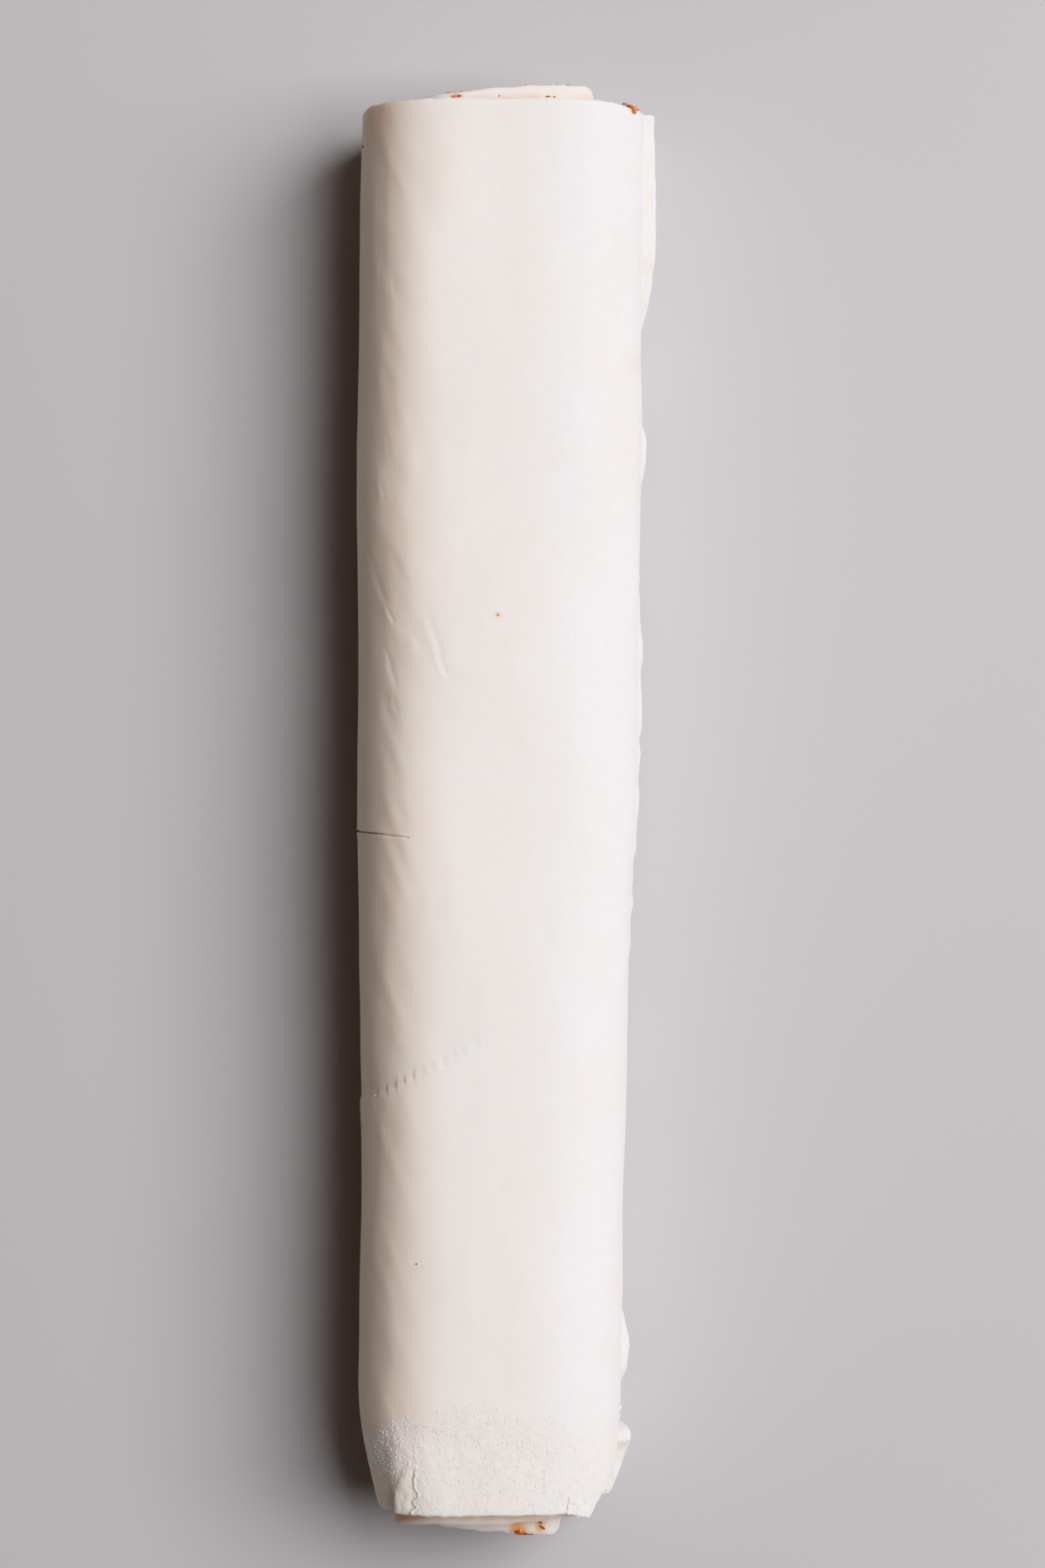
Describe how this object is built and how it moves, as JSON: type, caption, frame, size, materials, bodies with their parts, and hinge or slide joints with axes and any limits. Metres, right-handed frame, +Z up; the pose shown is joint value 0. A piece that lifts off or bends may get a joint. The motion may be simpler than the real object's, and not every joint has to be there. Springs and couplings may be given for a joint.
{
  "type": "puff pastry roll",
  "caption": "Unbaked puff pastry roll: a sheet of dough rolled up round a layer of red sauce, lying on its seam, with a torn free edge and ragged ends.",
  "frame": {"origin": "the centre of the bounding box's base, on the surface that the roll lies on", "axes": "+Y along the roll, towards the end whose inner turns slid out least; +X towards the side where the sheet's free edge climbs; +Z up"},
  "size_m": [0.0498, 0.2388, 0.0325],
  "materials": {
    "pastry": "raw dough, soft and floury",
    "sauce": "wet sauce"
  },
  "bodies": {
    "root": {"pastry_sheet": "pastry", "sauce_filling": "sauce"}
  },
  "joints": []
}
